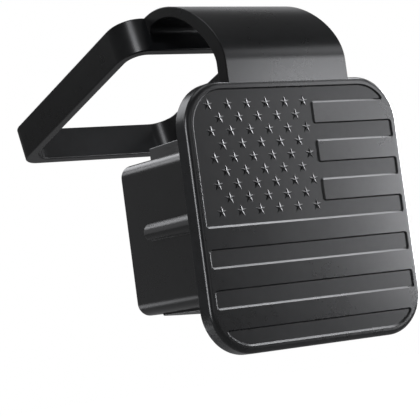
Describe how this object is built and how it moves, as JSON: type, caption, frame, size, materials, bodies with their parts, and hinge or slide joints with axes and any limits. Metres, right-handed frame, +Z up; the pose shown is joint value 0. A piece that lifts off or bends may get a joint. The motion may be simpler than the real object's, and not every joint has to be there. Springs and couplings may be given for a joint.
{
  "type": "hitch receiver cover",
  "caption": "One-piece moulded rubber cover for a square hitch receiver: relief face plate, ribbed plug, and a strap that carries a rectangular collar for the tube.",
  "frame": {"origin": "centre of the face plate's back face, which is also the root of the plug", "axes": "+Y along the plug into the receiver, +Z up as fitted, +X to the right seen from the front"},
  "size_m": [0.075, 0.1061, 0.1017],
  "materials": {
    "rubber": "satin black moulded rubber"
  },
  "bodies": {
    "root": {"receiver_cover": "rubber"}
  },
  "joints": []
}
